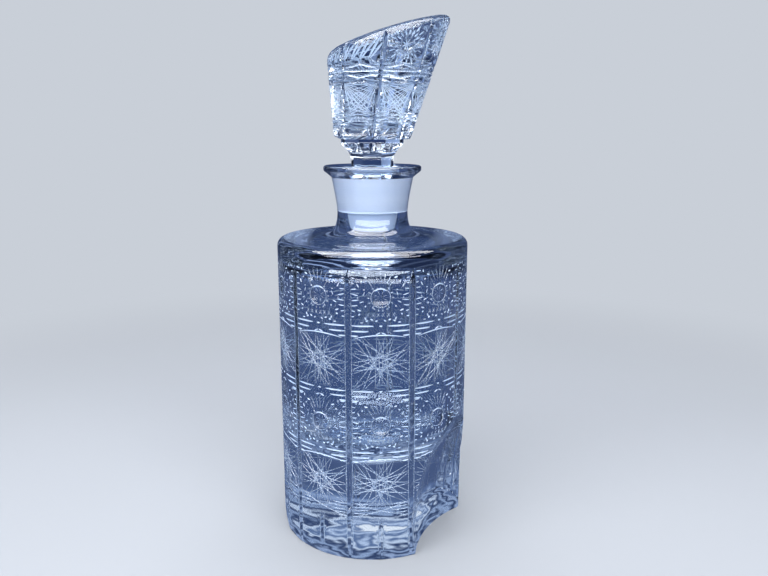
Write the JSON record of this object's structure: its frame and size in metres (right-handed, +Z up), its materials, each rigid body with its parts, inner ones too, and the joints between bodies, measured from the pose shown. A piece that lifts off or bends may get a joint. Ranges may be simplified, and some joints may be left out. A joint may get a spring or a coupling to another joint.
{
  "type": "cut crystal whisky decanter",
  "caption": "Round cut-glass whisky decanter with a low, nearly flat shoulder, a lipped neck, a scooped foot and a ground-in stopper whose leaning head has a slanted top.",
  "frame": {"origin": "middle of the foot, on the surface that the decanter stands on", "axes": "+Z up along the axis of the bottle; -Y towards the pictured side; the stopper's head leans towards +X"},
  "size_m": [0.098, 0.098, 0.265],
  "materials": {
    "crystal": "clear lead crystal, cut and polished",
    "stopper_crystal": "clear lead crystal, cut and polished, with a ground plug"
  },
  "bodies": {
    "bottle": {"bottle": "crystal"},
    "stopper": {"stopper": "stopper_crystal"}
  },
  "joints": [
    {"name": "stopper_lift", "type": "slide", "parent": "bottle", "child": "stopper", "axis": [0, 0, 1], "range_m": [0, 0.06]}
  ]
}
